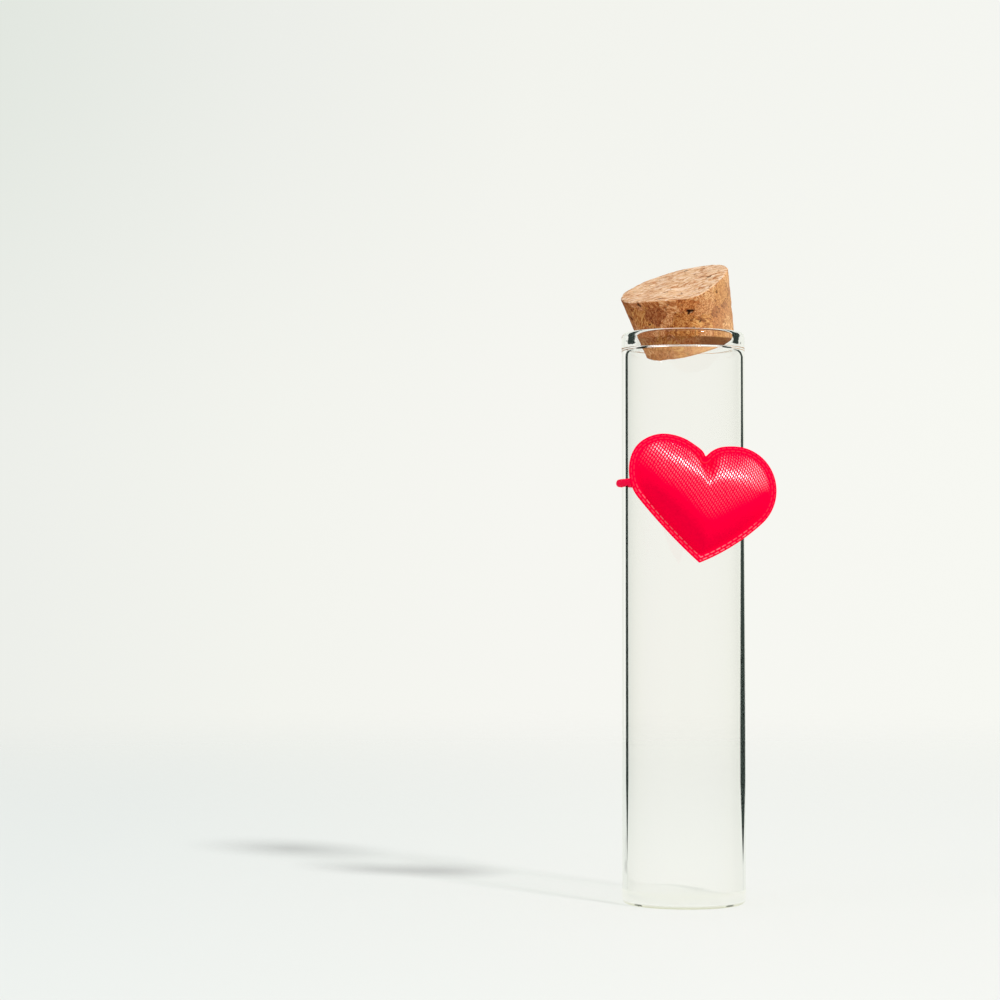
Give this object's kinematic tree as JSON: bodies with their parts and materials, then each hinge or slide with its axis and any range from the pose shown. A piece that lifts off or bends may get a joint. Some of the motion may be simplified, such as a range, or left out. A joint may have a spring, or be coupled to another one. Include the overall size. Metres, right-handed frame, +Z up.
{
  "type": "glass vial",
  "caption": "Tall flat-bottomed clear glass vial with a leaning tapered cork in its thick lip and a padded red satin heart held round it by thin elastic cord.",
  "frame": {"origin": "middle of the vial's flat underside, where it stands", "axes": "+Z up along the glass tube, -Y towards the viewer, +X to the viewer's right; the heart is turned 12 degrees from -Y towards +X"},
  "size_m": [0.0279, 0.03, 0.114],
  "materials": {
    "clear_glass": "clear, thin-walled, fire-polished lip",
    "agglomerated_cork": "raw pressed cork granules, ground sides, tan to red-brown",
    "red_elastic": "braided, matt",
    "red_satin": "satin weave, bright sheen across the shoulders",
    "white_wadding": "soft polyester wadding",
    "red_felt": "matt felt"
  },
  "bodies": {
    "vial": {"glass_vial": "clear_glass"},
    "stopper": {"cork_stopper": "agglomerated_cork"},
    "band": {"elastic_cord": "red_elastic"},
    "heart": {"heart_cover": "red_satin", "heart_filling": "white_wadding", "heart_backing": "red_satin", "cord_tab": "red_felt"}
  },
  "joints": [
    {"name": "cork_lift", "type": "slide", "parent": "vial", "child": "stopper", "axis": [0, 0, 1], "range_m": [0, 0.03]},
    {"name": "band_slide", "type": "slide", "parent": "vial", "child": "band", "axis": [0, 0, 1], "range_m": [-0.0595, 0.025]},
    {"name": "heart_turn", "type": "hinge", "parent": "band", "child": "heart", "pos_m": [0, 0, 0.0752], "axis": [0, 0, 1], "continuous": true}
  ]
}
